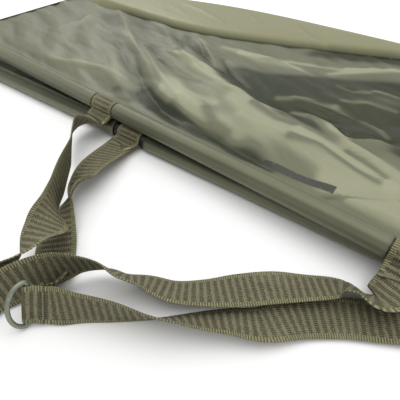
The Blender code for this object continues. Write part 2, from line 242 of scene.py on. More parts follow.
# An object from a grid of points, its faces running row by row; wrap joins the last column to
# the first, loop the last row, caps closes the two end rows and keep says which faces are made
def gridObject(name, points, finish, uv=None, wrap=False, caps=False, loop=False, keep=None):
    rows, columns = points.shape[:2]
    corner = np.arange(rows * columns).reshape(rows, columns)
    if wrap:
        corner = np.hstack([corner, corner[:, :1]])
    if loop:
        corner = np.vstack([corner, corner[:1]])
    quads = np.stack([corner[:-1, :-1], corner[1:, :-1], corner[1:, 1:], corner[:-1, 1:]], axis=-1)
    faces = (quads if keep is None else quads[keep]).reshape(-1, 4).tolist()
    if caps:
        faces += [corner[0, :columns].tolist(), corner[-1, :columns][::-1].tolist()]
    mesh = bpy.data.meshes.new(name)
    mesh.from_pydata(points.reshape(-1, 3).tolist(), [], faces)
    if uv is not None:
        layer = mesh.uv_layers.new(name="weave")
        index = np.zeros(len(mesh.loops), np.int32)
        mesh.loops.foreach_get("vertex_index", index)
        layer.data.foreach_set("uv", uv.reshape(-1, 2)[index].astype(np.float32).ravel())
    if caps or loop:
        work = bmesh.new()
        work.from_mesh(mesh)
        bmesh.ops.recalc_face_normals(work, faces=work.faces)
        work.to_mesh(mesh)
        work.free()
    mesh.shade_smooth()
    mesh.materials.append(finish.material)
    return linked(name, mesh)


# A sheet of cloth from a grid of points: its marks for the finish, its thickness, and on its
# underside a finish of its own where there is one
def clothObject(name, points, finish, uv, marks, under=None, **faces):
    obj = gridObject(name, points, finish, uv, **faces)
    for mark, values in marks.items():
        layer = obj.data.attributes.new(mark, "FLOAT", "POINT")
        layer.data.foreach_set("value", np.asarray(values, np.float32).ravel())
    skin = obj.modifiers.new("Thickness", "SOLIDIFY")
    skin.thickness, skin.offset, skin.use_even_offset = sling["cloth"], 0.0, False
    if under is not None:
        obj.data.materials.append(under.material)
        skin.material_offset = 1
    return obj


# Points spaced evenly along a path of rows; each row may hold more than a place
def evenly(rows, step):
    rows = np.asarray(rows, float)
    run = runAlong(rows[:, :3])
    keep = np.concatenate([[True], np.diff(run) > 1e-9])
    rows, run = rows[keep], run[keep]
    places = np.linspace(0.0, run[-1], max(2, int(round(run[-1] / step)) + 1))
    return np.stack([np.interp(places, run, column) for column in rows.T], axis=1), places


# A tube: circles of the given radius round a path, each turned to the normal of the plane
# that fits the whole path best
def tubeObject(name, path, radius, sides, finish, closed=False):
    path = np.asarray(path, float)
    if closed:
        ahead = unit(np.roll(path, -1, axis=0) - np.roll(path, 1, axis=0))
    else:
        ahead = unit(np.gradient(path, axis=0))
    flat = np.linalg.svd(path - path.mean(axis=0), full_matrices=False)[2][2]
    one = unit(np.cross(flat, ahead))
    two = np.cross(ahead, one)
    angle = np.linspace(0.0, 2 * math.pi, sides, endpoint=False)
    radius = np.broadcast_to(np.asarray(radius, float), (len(path),))[:, None, None]
    points = path[:, None, :] + radius * (
        np.cos(angle)[None, :, None] * one[:, None, :] + np.sin(angle)[None, :, None] * two[:, None, :]
    )
    uv = joined(runAlong(path)[:, None], angle[None, :] * 0.002)
    return gridObject(name, points, finish, uv, wrap=True, caps=not closed, loop=closed)


sewing = {
    "stitch": 0.0032, "crossStitch": 0.0026, "radius": 0.00032, "sides": 5, "wave": 0.00021,
    "raised": 0.000035, "hemInset": 0.006, "hemPoints": 900, "hemRise": 0.0007,
}


# Sewing thread along a path: it rises and dips by the wave once each stitch, along lift
def threadObject(name, path, lift, stitch):
    path, run = evenly(path, stitch / 6)
    wave = sewing["wave"] * np.cos(2 * math.pi * run / stitch) + sewing["raised"]
    path = path + np.asarray(lift)[None, :] * wave[:, None]
    return tubeObject(name, path, sewing["radius"], sewing["sides"], thread)


clothLook = {
    # valley is painted shade and ridge is painted light, both laid on by the relief mark
    "colour": (0.150, 0.152, 0.101), "valley": (0.018, 0.022, 0.012), "ridge": (0.305, 0.308, 0.208),
    # gusset is the same cloth painted lighter, as painted light; edge is painted shade where the cloth turns
    # under and behind the crease
    "gusset": (0.235, 0.231, 0.136), "edge": (0.026, 0.028, 0.018),
    "patch": (0.048, 0.048, 0.044), "tint": (0.84, 0.88, 0.62, 1.0), "roughness": 0.42, "weave": 0.0007,
    "patchLow": (0.027, 0.025), "patchHigh": (0.109, 0.0335), "patchSoft": 0.0006,
    "insideShade": 0.62, "valleyStep": (-0.0070, 0.0010), "ridgeStep": (0.0010, 0.0075),
}


# Coated cloth: a plain weave of crossed sines and slow random changes of tone; on its outside,
# painted shade towards the valley colour and painted light towards the ridge colour, both set by
# the relief mark; its inside has only the weave and the slow changes
def clothFinish(name, patched=False, inside=False):
    look = clothLook
    made = Finish(name, look["roughness"], Specular_IOR_Level=0.38, Specular_Tint=look["tint"])
    u, v = made.surface()
    cloud = made.noise(9.0, 4.0).step(0.3, 0.7)
    fine = made.noise(260.0, 2.0)
    if inside:
        body = made.mix(cloud * 0.24 + look["insideShade"], look["valley"], look["colour"])
    else:
        # The relief mark holds painted shade and light: low values go to the valley colour, high ones to the
        # ridge colour
        relief = made.attribute("relief")
        shade = relief.step(*look["valleyStep"]) * 0.88 + cloud * 0.12
        body = made.mix(shade, look["valley"], look["colour"])
        body = made.mix(relief.step(*look["ridgeStep"]), body, look["ridge"])
        # Painted light over the whole gusset, and painted shade where the edge mark lies
        for mark in ("gusset", "edge"):
            body = made.mix(made.attribute(mark), body, look[mark])
    if patched:
        soft, shown = look["patchSoft"], 1.0 - fine.step(0.62, 0.72) * 0.5
        for place, start, low, high in zip(made.place(), origin, look["patchLow"], look["patchHigh"]):
            here = place - float(start)
            shown = shown * here.step(low - soft, low + soft) * (1.0 - here.step(high - soft, high + soft))
        body = made.mix(shown, body, look["patch"])
    made.colour(body)
    creases = made.streaks(-0.45, 9.0, 44.0) * 6.0 + made.streaks(-0.15, 16.0, 80.0) * 3.0
    weave = u.wave(look["weave"]) * v.wave(look["weave"])
    made.bump(weave * 0.06 + fine * 0.20 + creases, 0.0004, 0.7)
    made.set(made.shader, {"Roughness": look["roughness"] - 0.06 + fine * 0.12})
    return made


webLook = {
    # groove is painted shade in the grooves, and also the dark colour of the knots and stitches
    "light": (0.250, 0.234, 0.146), "groove": (0.044, 0.038, 0.020), "selvedge": (0.300, 0.288, 0.160),
    "knot": (0.340, 0.322, 0.215), "ribPitch": 0.0064, "ribHeight": 0.00026, "halfWidth": 0.019,
    "tabHalf": 0.0165, "selvedgeWidth": 0.0046, "thickness": 0.0018, "warp": 0.0019, "weft": 0.0021,
}


# Ribbed webbing: light ribs across it and grooves darkened with painted shade, both broken by the
# knots of its threads, and close cross stitches on the plain selvedges
def webFinish(name):
    look = webLook
    made = Finish(name, 0.86, Specular_IOR_Level=0.25)
    u, v = made.surface()
    wave = u.wave(look["ribPitch"], "COSINE")
    plain = look["halfWidth"] - look["selvedgeWidth"]
    middle = 1.0 - v.math("ABSOLUTE").step(plain - 0.0004, plain + 0.0002)
    warp = v.wave(look["warp"])
    weft = u.wave(look["weft"])
    grain = made.noise(620.0, 3.0, 0.6)
    cloud = made.noise(40.0, 2.0)
    # Painted shade in the grooves between the ribs
    groove = (0.0 - wave + (grain - 0.5) * 1.6).step(-0.70, 0.30) * middle
    light = made.mix(middle, look["selvedge"], look["light"])
    body = made.mix(groove * (0.74 + warp * 0.26), light, look["groove"])
    knots = (warp * weft * 0.5 + 0.5) * (1.0 - groove) * middle
    body = made.mix(knots * 0.55, body, look["groove"])
    body = made.mix((weft * 0.5 + 0.5) * (1.0 - middle) * 0.85, body, look["groove"])
    body = made.mix(grain.step(0.52, 0.62) * 0.45, body, look["groove"])
    body = made.mix(grain.step(0.40, 0.30) * 0.35 + cloud.step(0.45, 0.8) * 0.15, body, look["knot"])
    made.colour(body)
    made.bump(warp * middle * 0.6 + weft * (1.0 - middle) * 0.9 + grain * 1.4, 0.00030, 0.9)
    return made


# Grosgrain tape: fine ribs across it, with painted shade between them
def tapeFinish(name):
    made = Finish(name, 0.82, Specular_IOR_Level=0.25)
    rib = made.surface()[0].wave(0.0011)
    grain = made.noise(700.0, 2.0)
    made.colour(made.mix(rib * 0.3 + 0.3 + grain * 0.3, (0.030, 0.033, 0.022), (0.105, 0.108, 0.072)))
    made.bump(rib * 0.7 + grain, 0.0002, 0.7)
    return made


# Sewing thread: plies that wind round it, with painted shade between them
def threadFinish(name):
    made = Finish(name, 0.7)
    u, v = made.surface()
    ply = (u * 5.0 + v).wave(0.002)
    made.colour(made.mix(ply * 0.4 + 0.5, (0.045, 0.047, 0.030), (0.125, 0.125, 0.085)))
    made.bump(ply, 0.00006, 0.6)
    return made


# Coated wire: even grey-green coat, a little orange peel and small bright rubs
def ringFinish(name):
    made = Finish(name, 0.34, 0.55)
    peel = made.noise(420.0, 2.0)
    cloud = made.noise(90.0, 3.0)
    rub = cloud.step(0.60, 0.72)
    made.colour(made.mix(rub * 0.5, (0.215, 0.232, 0.178), (0.42, 0.43, 0.38)))
    made.bump(peel, 0.00005, 0.5)
    made.set(made.shader, {"Roughness": 0.30 + cloud * 0.14})
    return made


# Black plastic or drawn tube: fine grain and soft scuffs
def blackFinish(name, colour, roughness):
    made = Finish(name, roughness)
    grain = made.noise(1400.0, 2.0)
    scuff = made.noise(60.0, 4.0)
    lighter = tuple(3.0 * c for c in colour)
    made.colour(made.mix(scuff.step(0.55, 0.8) * 0.5, colour, lighter))
    made.bump(grain, 0.00004, 0.5)
    made.set(made.shader, {"Roughness": roughness - 0.06 + scuff * 0.16})
    return made


upperCloth = clothFinish("upperCloth", patched=True)
plainCloth = clothFinish("plainCloth")
innerCloth = clothFinish("innerCloth", inside=True)
webbing = webFinish("ribbedWebbing")
tape = tapeFinish("bindingTape")
thread = threadFinish("sewingThread")
ringCoat = ringFinish("ringCoat")
tubeBlack = blackFinish("tubeBlack", (0.012, 0.012, 0.012), 0.42)
capBlack = blackFinish("capBlack", (0.010, 0.010, 0.010), 0.55)
print("finishes made")


cloth = {
    "alongCells": (110, 14, 110, 8, 58), "panelCells": 110, "gussetCells": 90, "sleeveCells": 34,
    "sleeveRadius": 0.00995, "leave": 50.0, "meet": -55.0, "frontGap": 0.0007, "overShare": 0.68,
    "hem": 0.0130, "hemDepth": 0.0008, "hemWidth": 0.0016,
    "hemLines": (0.0080, 0.0096, 0.0112, 0.0130, 0.0146, 0.0165, 0.0195, 0.0225), "tubeLines": 4,
    "creaseDepth": 0.0080, "creaseWidth": 0.0060, "creaseSpread": 0.0100, "gussetRise": 0.0060,
    # the crease's painted shade: its strength, the widths of its dark line in front and behind, and the share
    # of the dark edge colour behind it
    "creaseShade": 0.0150, "creaseBands": (0.0100, 0.0055), "creaseEdge": 0.75,
    # spans: where they start along the sling, past the crease or in the turn, and how wide they are;
    # the edge spans bound the painted shade where the cloth turns under its far outline
    "creaseSpan": (-0.52, 0.08), "spreadSpan": (-0.10, 0.15), "behindSpan": (0.03, 0.12),
    "topSpan": (0.40, 0.16), "floorSpan": (0.45, 0.55), "edgeSpans": ((0.56, 0.02), (0.74, 0.03)),
    "foldRun": 0.016, "lightAndShadeRun": 0.010, "creaseRun": 0.012, "foldEnd": 0.05, "creaseEnd": 0.08,
    "pastCrease": (0.12, 0.02), "hemTuck": (0.0010, -0.0012),
    "ripple": 0.0060, "rippleRange": (0.060, 0.014), "foldGain": 1.5, "foldLimit": 0.015, "foldSoftness": 1.2,
    # the last three limits bound the painted areas and the whole of the painted shade and light
    "mirrorAt": 330.0, "mirrorLimit": 120.0, "paintedShadeLimit": 0.0070, "shadeLimit": 0.0076, "lightLimit": 0.0060,
    # the sleeves' painted streaks and shade, then the place, spread and strength of the painted shade along
    # the gap under the upper side
    "sleeveStreak": 0.0024, "sleeveShade": 0.0040, "lowerShade": -0.0004,
    "gapTurn": 112.0, "gapSpread": 26.0, "gapShade": 0.0070,
}

# The crease where the upper side is sewn to the gusset, in millimetres
creaseStops = (
    (-600, 268), (-507, 268), (-399, 268), (-329, 269), (-268, 277), (-210, 293), (-155, 312),
    (-102, 331), (-53, 352), (-3, 371), (42, 390), (100, 401), (165, 404),
)

# Folds of the upper side: height before the gain and width, then the line's x and y in turn,
# all in millimetres
folds = (
    (-9, 42, (-110, 140, -70, 130, -34, 130, 12, 148, 65, 172, 115, 192, 165, 198)),
    (3, 24, (-230, 110, -175, 90, -120, 72, -60, 56, 0, 50)),
    (5, 20, (60, 14, 120, 24, 180, 30, 240, 30)), (-2.4, 12, (-330, 150, -250, 105, -190, 60, -150, 32)),
    (-3, 6, (-150, 190, -120, 168, -85, 150, -55, 138)), (2.6, 6, (-308, 234, -221, 161)),
    (2.4, 6, (-282, 243, -172, 146)), (4.2, 8, (-264, 258, -190, 202, -129, 156)),
    (-3.2, 5, (-225, 222, -196, 196, -150, 168)), (2.8, 5, (-232, 180, -196, 156, -158, 138)),
    (-3, 7, (-190, 168, -127, 149)), (3, 6, (-87, 124, -51, 113)),
    (4, 7, (-209, 166, -154, 148, -93, 120, -63, 116, -33, 108, 1, 112, 32, 97)),
    (7, 34, (-178, 145, -53, 108, 39, 85, 104, 72, 158, 64)),
    (4.5, 9, (-37, 79, 18, 72, 65, 71, 98, 61, 139, 53, 156, 51)),
    (5.2, 6, (8, 146, 37, 128, 57, 119, 86, 99, 124, 90, 152, 80)),
    (-5, 13, (-141, 44, -103, 40, -68, 36, -17, 33, 9, 29, 48, 23, 97, 20, 121, 19)),
    (-2.5, 4, (106, 20, 132, 36, 161, 55)), (-2, 3.5, (107, 21, 138, 18, 176, 12)),
    (2.5, 4.5, (-32, 153, 4, 172, 35, 188)), (2.2, 4.5, (20, 241, 57, 245)), (2.5, 4.5, (58, 257, 89, 258)),
    (4.6, 5, (-12, 162, 21, 167, 77, 166, 105, 159)), (1.6, 4.5, (-71, 297, -33, 295)),
    (4, 8, (2, 297, 35, 311, 65, 328)), (5.2, 6, (87, 110, 105, 118, 135, 130)),
    (-5.5, 5, (64, 136, 79, 121, 109, 136, 127, 151)), (3, 14, (-220, 230, -132, 241, -61, 262)),
    (-1.6, 7, (-369, 158, -248, 86, -163, 35)), (2.6, 7, (-463, 254, -278, 134, -162, 61)),
    (2.5, 6, (-286, 153, -196, 96, -135, 66)), (3, 5, (-240, 181, -163, 136, -105, 120)),
    (2.5, 4.5, (-250, 162, -193, 151, -126, 142)), (-4, 9, (-194, 65, -134, 42, -97, 32)),
    (3, 13, (-453, 57, -369, 36, -278, 61, -191, 56)), (2, 7, (-466, 121, -464, 163, -479, 209)),
    (-2.5, 11, (-442, 27, -314, 13, -233, 21)),
)
# Small folds of the gusset, in the same way
gussetFolds = (
    (2.2, 5, (-377, 360, -316, 346, -255, 325)), (-2.4, 5, (-135, 393, -100, 372, -64, 356)),
    (1.8, 4, (-243, 393, -195, 362)),
)

# Areas of painted shade and painted light: strength in thousandths, width and line, as above
paintedLightAndShade = (
    (-6.5, 26, (-98, 154, -57, 172, -18, 213, 32, 247, 82, 274)),
    (-7, 26, (-65, 136, -13, 138, 35, 166, 105, 211, 165, 215)),
    (-5, 16, (5, 109, 56, 124, 104, 137, 165, 147)),
    (-6.5, 15, (-62, 320, -16, 338, 22, 361, 48, 372, 165, 380)),
    (-5, 14, (-177, 56, -137, 40, -106, 28, -57, 23, 6, 24)),
    (-3.2, 30, (-443, 217, -360, 216, -257, 210, -175, 200)), (-4.2, 20, (-268, 150, -234, 122, -196, 104)),
    (-3, 9, (-220, 196, -168, 172, -120, 146)), (-3.2, 7, (-262, 232, -236, 196, -222, 170)),
    (5.5, 14, (-159, 71, -103, 59, -57, 51, -20, 41)), (3, 12, (-70, 103, -16, 91, 42, 79, 94, 71)),
    (5.5, 14, (99, 37, 134, 38, 166, 38)), (3, 12, (-180, 232, -111, 229, -54, 249)),
    (-6, 16, (-110, 176, -75, 180, -31, 209, 19, 244, 77, 285, 165, 300)),
    (-5, 20, (14, 129, 60, 155, 114, 183, 165, 195)), (-3.5, 14, (30, 101, 67, 101, 106, 118, 165, 130)),
    (5, 6, (-86, 260, -44, 276, -3, 292, 59, 336, 165, 350)),
    (-6, 3, (101, 17, 124, 29, 144, 39, 163, 51)), (-4, 7, (-172, 151, -147, 153, -115, 147)),
    (-4.5, 9, (-216, 38, -180, 38, -149, 37)), (-3.5, 6, (-205, 18, -178, 26)),
    (-3.5, 6, (-15, 16, 12, 25, 40, 21)),
)
# Narrow streaks of painted light and shade over them, in the same way
streaks = (
    (6.3, 4.8, (-31, 150, -7, 166, 16, 172, 36, 182)), (5.8, 5.4, (36, 182, 70, 170, 99, 159, 114, 150)),
    (6.9, 6, (1, 137, 27, 134, 60, 116, 79, 111)), (5.8, 4.8, (38, 201, 64, 220, 100, 220)),
    (6.3, 3.6, (57, 253, 87, 260)), (5.2, 3.6, (13, 235, 37, 233, 55, 244)),
    (5.8, 7.2, (-14, 266, 0, 282, 28, 309, 58, 339)), (3.4, 6, (36, 85, 79, 77, 118, 69, 149, 63)),
    (4.6, 3.6, (-152, 234, -122, 240, -96, 261)), (4.6, 3.6, (-83, 253, -54, 249, -31, 243)),
    (-5.7, 4.8, (-40, 105, 4, 91, 24, 93)), (-6.4, 6, (1, 153, 22, 154, 59, 143, 79, 127)),
    (-6.4, 4.8, (33, 72, 65, 74, 91, 68, 112, 64, 138, 62)), (-5.1, 4.2, (78, 120, 100, 133, 126, 148)),
    (-5.1, 3.6, (93, 86, 113, 82, 140, 71)), (-5.1, 4.8, (-229, 169, -181, 161, -139, 152)),
    (-4.5, 4.8, (-222, 126, -168, 103, -134, 107)), (-4.5, 6, (-129, 54, -83, 35, -59, 26)),
    (-5.1, 7.2, (-83, 66, -58, 50, -36, 46)), (3.4, 6, (-136, 76, -96, 82, -82, 80)),
)


# A line's points and, where they end left of the limit, those of its mirrored copy
def withCopy(line, limit=math.inf):
    points = np.array(line, float).reshape(-1, 2)
    if points[:, 0].max() >= limit:
        return [points]
    return [points, points * (-1.0, 1.0) + (cloth["mirrorAt"], 0.0)]


# Distance from each place to a line of points, and the share of the line's run there
def lineDistance(x, y, line):
    steps = np.linalg.norm(np.diff(line, axis=0), axis=1)
    total, run = steps.sum(), 0.0
    best = np.full(x.shape, 1e9)
    share = np.zeros(x.shape)
    for (ax, ay), (bx, by), length in zip(line[:-1], line[1:], steps):
        t = np.clip(((x - ax) * (bx - ax) + (y - ay) * (by - ay)) / length**2, 0.0, 1.0)
        away = np.hypot(x - ax - t * (bx - ax), y - ay - t * (by - ay))
        nearer = away < best
        best = np.where(nearer, away, best)
        share = np.where(nearer, (run + t * length) / total, share)
        run += length
    return best, share


# Sum of the folds: height times exp(-(sqrt(d^2 + s^2) - s) / (0.7 width)), fading at a line's
# ends, with ridges held under the limit by its tanh
def foldRelief(x, y, lines):
    total = np.zeros(x.shape)
    for height, width, line in lines:
        for points in withCopy(line, cloth["mirrorLimit"]):
            away, share = lineDistance(x * 1000, y * 1000, points)
            soft = cloth["foldSoftness"] + 0.15 * width
            ridge = np.exp(-(np.sqrt(away**2 + soft**2) - soft) / (0.7 * width))
            fade = 0.35 + 0.65 * np.sin(math.pi * np.clip(share, 0.04, 0.96))
            total += cloth["foldGain"] * height * 0.001 * ridge * fade
    return np.where(total > 0, cloth["foldLimit"] * np.tanh(total / cloth["foldLimit"]), total)


# Sum of painted light and shade: strength times exp(-(d / width)^2), all of them mirrored
def lightAndShadeField(x, y, lines):
    total = np.zeros(x.shape)
    for strength, width, line in lines:
        for points in withCopy(line):
            away = lineDistance(x * 1000, y * 1000, points)[0]
            total += 0.001 * strength * np.exp(-((away / width) ** 2))
    return total


# Small random waves: the mean of sines in turned directions, each as high as its length is of
# the longest
def ripple(x, y, count, longest, shortest, seed):
    draw = np.random.default_rng(seed)
    total = np.zeros(x.shape)
    for _ in range(count):
        heading = draw.uniform(-0.7, -0.1)
        wave = math.exp(draw.uniform(math.log(shortest), math.log(longest)))
        phase = draw.uniform(0, 2 * math.pi)
        bend = draw.uniform(-1, 1)
        across = -x * math.sin(heading) + y * math.cos(heading)
        along = x * math.cos(heading) + y * math.sin(heading)
        wander = across + 0.2 * wave * np.sin(along / wave + bend)
        total += wave * np.sin(2 * math.pi * wander / wave + phase)
    return total / (count * longest)


# Far outline: depth less a power of the share of the half length
def outlineDepth(x):
    share = np.abs(x / halfLength) ** sling["cornerPower"]
    return sling["depth"] * (1.0 - sling["cornerShare"] * share)


# Depth of the crease: its stops joined, mirrored as the folds are and smoothed over 44 mm
creaseX = np.linspace(-0.64, 0.64, 321)
creaseFolded = np.minimum(creaseX * 1000, cloth["mirrorAt"] - creaseX * 1000)
creaseY = np.interp(creaseFolded, *np.array(creaseStops, float).T) / 1000
creaseY = np.convolve(np.pad(creaseY, 5, mode="edge"), np.ones(11) / 11, mode="valid")


def creaseLine(x):
    return np.interp(x, creaseX, creaseY)


# Where the cloth leaves its sleeve, from the pole's axis
leaveY, leaveZ = [cloth["sleeveRadius"] * f(math.radians(cloth["leave"])) for f in (math.cos, math.sin)]


# Height of the upper side over the floor: the straight rise to the seam, a dome, and in front
# of the hem the cubic that leaves the sleeve along its tangent
def upperHeight(x, y):
    front = sling["sleeveOuter"] + cloth["frontGap"]
    share = np.clip((y - front) / (sling["seamDepth"] - front), 0.0, 1.0)
    axis = sling["axis"]["upper"]
    base = axis + (sling["seamHeight"] - axis) * share
    base = base + sling["dome"] * np.sin(math.pi * share) * (1.0 - (x / halfLength) ** 4)
    run = cloth["hem"] - leaveY
    t = np.clip((y - leaveY) / run, 0.0, 1.0)
    return base + leaveZ * (1 - t) ** 2 * (1 + 2 * t) - leaveY / leaveZ * run * t * (1 - t) ** 2


def upperRelief(x, y):
    fromFront = ramp(y, cloth["hem"], cloth["foldRun"])
    fromEnd = smoothStep((halfLength - np.abs(x)) / cloth["foldEnd"])
    relief = foldRelief(x, y, folds) * fromFront * fromEnd
    relief = relief + cloth["ripple"] * ripple(x, y, 14, *cloth["rippleRange"], 5) * fromFront
    hem = np.exp(-(((y - cloth["hem"]) / cloth["hemWidth"]) ** 2))
    return relief - cloth["hemDepth"] * hem


# How far the gusset reaches behind the hinge
def gussetReach(x):
    return outlineDepth(x) - sling["seamDepth"]


# Share of the way over and under the gusset that a depth behind the hinge lies at
def turnShareAt(x, y):
    over = np.arcsin(np.clip((y - sling["seamDepth"]) / gussetReach(x), 0.0, 1.0))
    return cloth["overShare"] * 2 / math.pi * over


# Height and marks of the cloth from the sleeve to the floor below the far outline; the marks are
# painted light and shade
def clothSurface(x, y, turnShare):
    toCrease = y - creaseLine(x)
    front, behind = toCrease < 0, toCrease > 0
    nearCrease = smoothStep(np.abs(toCrease) / cloth["creaseRun"])
    spread = cloth["creaseSpread"] * ramp(x, *cloth["spreadSpan"])
    crease = np.exp(-np.abs(toCrease) / (cloth["creaseWidth"] + spread * front))
    swell = smoothStep(toCrease / cloth["creaseRun"]) * (1 - ramp(toCrease, *cloth["behindSpan"]))
    onTop = 1.0 - ramp(turnShare, *cloth["topSpan"])
    fromEnd = smoothStep((halfLength - np.abs(x)) / cloth["creaseEnd"])
    left, fade = cloth["pastCrease"]
    relief = upperRelief(x, y) * np.where(behind, left * np.exp(-toCrease / fade), 1.0)
    relief = (relief + foldRelief(x, y, gussetFolds) * behind) * nearCrease
    relief = relief + fromEnd * (cloth["gussetRise"] * swell - cloth["creaseDepth"] * crease)
    rise = (sling["ridgeHeight"] - sling["seamHeight"]) * smoothStep(turnShare / 0.55)
    z = upperHeight(x, y) + rise + relief * onTop
    z = z + (sling["cloth"] / 2 - z) * ramp(turnShare, *cloth["floorSpan"])
    # Painted shade where the cloth turns under its far outline
    edgeIn, edgeOut = cloth["edgeSpans"]
    edge = ramp(turnShare, *edgeIn) * (1 - ramp(turnShare, *edgeOut))
    # Painted areas of light and shade, fading in behind the hem
    fromHem = front * ramp(y, cloth["hem"], cloth["lightAndShadeRun"])
    paintedAreas = np.maximum(lightAndShadeField(x, y, paintedLightAndShade), -cloth["paintedShadeLimit"]) * fromHem
    # Painted shade along the crease: a dark line, with the dark edge colour on its far side
    line = np.exp(-((toCrease / np.where(front, *cloth["creaseBands"])) ** 2)) * ramp(x, *cloth["creaseSpan"])
    edge = np.maximum(edge, cloth["creaseEdge"] * line * (toCrease >= 0))
    # The painted shade: the relief, the painted areas and the crease line held between limits, then the
    # painted streaks
    shade = relief * onTop + paintedAreas - cloth["creaseShade"] * line
    shade = np.clip(shade, -cloth["shadeLimit"], cloth["lightLimit"]) + lightAndShadeField(x, y, streaks) * fromHem
    return z, {"relief": shade, "edge": edge}


# The cloth's two numbers for its weave: the place along the sling and the run across it
def clothWeave(places):
    steps = np.linalg.norm(np.diff(places, axis=1), axis=2)
    return joined(places[..., 0], np.hstack([np.zeros((len(places), 1)), np.cumsum(steps, axis=1)]))


# Area of a grid of points, as half the cross product of each cell's diagonals
def gridArea(places, keep=None):
    cross = np.cross(places[1:, 1:] - places[:-1, :-1], places[1:, :-1] - places[:-1, 1:])
    area = 0.5 * np.linalg.norm(cross, axis=2)
    return float(area.sum() if keep is None else area[keep].sum())


# Long streaks of painted light and shade on a sleeve: sines of the turn about the pole that wander along it
def sleeveStreaks(x, angle):
    broad = np.sin(4 * angle + 0.9 * np.sin(7 * x + 1.0))
    return 0.6 * broad + 0.4 * np.sin(9 * angle + 0.7 * np.sin(11 * x) + 2.0)


# Places along the sling, with grid lines on the cut-outs' edges
stopAt = sling["cutOutHalf"]["upper"]
stops = (-halfLength, -halfSpacing - stopAt, -halfSpacing + stopAt, halfSpacing - stopAt,
         halfSpacing + stopAt, halfLength)
spans = zip(stops[:-1], stops[1:], cloth["alongCells"])
upperX = np.concatenate([*[np.linspace(a, b, n, endpoint=False) for a, b, n in spans], [stops[-1]]])
upperColumn = upperX[:, None]

# The hem's turning: in below the panel to the pole, round under, in front and over it
turns = np.radians(np.linspace(cloth["meet"], cloth["leave"] - 360.0, cloth["sleeveCells"] + 1))[:-1]
sleeveLine = joined(cloth["sleeveRadius"] * np.cos(turns),
                    sling["axis"]["upper"] + cloth["sleeveRadius"] * np.sin(turns))
hemEnd = np.array([cloth["hem"], sling["axis"]["upper"]]) + cloth["hemTuck"]
wrapLine = np.vstack([hemEnd + (sleeveLine[0] - hemEnd) * np.linspace(0.0, 1.0, 5)[:-1, None], sleeveLine])

# The panel: a few lines over the hem, then even ones to the crease
frontY = np.array([leaveY, *cloth["hemLines"]])
panelShare = np.linspace(0.0, 1.0, cloth["panelCells"] + 1)[None, 1:]
panelY = np.hstack([np.tile(frontY, (len(upperX), 1)),
                    frontY[-1] + (creaseLine(upperColumn) - frontY[-1]) * panelShare])
panelX = upperColumn + 0 * panelY
panelZ, panelMarks = clothSurface(panelX, panelY, turnShareAt(panelX, panelY))
wrapCells = len(wrapLine)
panelPlaces = np.hstack([joined(upperColumn, *wrapLine.T[:, None]), joined(panelX, panelY, panelZ)])

# Faces over the cut-outs are left out, up to the line behind the loops
middles = np.abs(np.abs((upperX[1:] + upperX[:-1]) / 2) - halfSpacing)
keep = np.ones((panelPlaces.shape[0] - 1, panelPlaces.shape[1] - 1), bool)
keep[middles < stopAt, : wrapCells + cloth["tubeLines"]] = False

# Painted streaks of light and shade on its sleeve, with painted shade underneath, go on over the first lines
# of the panel
frontTurns = np.arccos(np.clip(frontY[: cloth["tubeLines"]] / cloth["sleeveRadius"], -1.0, 1.0)) - 2 * math.pi
panelMarks["relief"][:, : cloth["tubeLines"]] = cloth["sleeveStreak"] * sleeveStreaks(upperColumn, frontTurns)
onSleeve = cloth["sleeveStreak"] * sleeveStreaks(upperColumn, turns)
onSleeve = onSleeve - cloth["sleeveShade"] * (0.5 - 0.5 * np.sin(turns))
onHem = np.tile(onSleeve[:, :1], (1, wrapCells - len(turns)))
upperMarks = {"relief": np.hstack([onHem, onSleeve, panelMarks["relief"]]),
              "edge": np.hstack([np.zeros((len(upperX), wrapCells)), panelMarks["edge"]])}
upperSheet = clothObject("upper_side_cloth", panelPlaces + origin, upperCloth, clothWeave(panelPlaces),
                         upperMarks, innerCloth, keep=keep)

# The gusset: from the crease over its ridge, round the far outline and under to the floor
gussetShare = np.linspace(0.0, 1.0, cloth["gussetCells"] + 1)[None, :]
start = turnShareAt(upperX, creaseLine(upperX))[:, None]
turnShare = start + (1.0 - start) * gussetShare
over, under = cloth["overShare"], 1.0 - cloth["overShare"]
reach = gussetReach(upperColumn)
gussetY = sling["seamDepth"] + reach * np.sin(0.5 * math.pi * np.minimum(turnShare / over, 1.0))
gussetY = gussetY - sling["tuckShare"] * reach * ramp(turnShare, over, under)
gussetX = upperColumn + 0 * gussetY
gussetZ, gussetMarks = clothSurface(gussetX, gussetY, turnShare)
gussetPlaces = joined(gussetX, gussetY, gussetZ)
# Its gusset mark gives the whole gusset the lighter gusset colour, which is painted light
gussetSheet = clothObject("base_gusset_cloth", gussetPlaces + origin, plainCloth, clothWeave(gussetPlaces),
                          {**gussetMarks, "gusset": np.ones(gussetX.shape)}, innerCloth)
areas = gridArea(panelPlaces, keep), gridArea(gussetPlaces)
print("upper side and gusset made, square metres:", *[round(area, 3) for area in areas])


# Where the lower side meets the gusset's tucked edge
def tuckDepth(x):
    return sling["seamDepth"] + (1.0 - sling["tuckShare"]) * gussetReach(x) - sling["tuckGap"]


lower = {
    "cells": (220, 70), "front": 0.0118, "ripple": 0.010, "rippleRange": (0.09, 0.02), "sleeveCell": 0.003,
    "hemRun": 0.005, "hemRise": 0.00035, "dent": 0.0011, "dentRange": (0.030, 0.008),
}


# Lower side: from behind its own sleeve down to the floor and flat to the gusset
def lowerPlaces(along, across, front, end, rest):
    near = moved(poleGround("lower"), joined(halfLength * along, front, 0.0)) - origin
    x = near[..., 0] + (halfLength * along - near[..., 0]) * across
    y = near[..., 1] + (end - near[..., 1]) * across
    fall = 1.0 - smoothStep(across / sling["fallShare"])
    return joined(x, y, rest + (sling["axis"]["lower"] - rest) * fall)


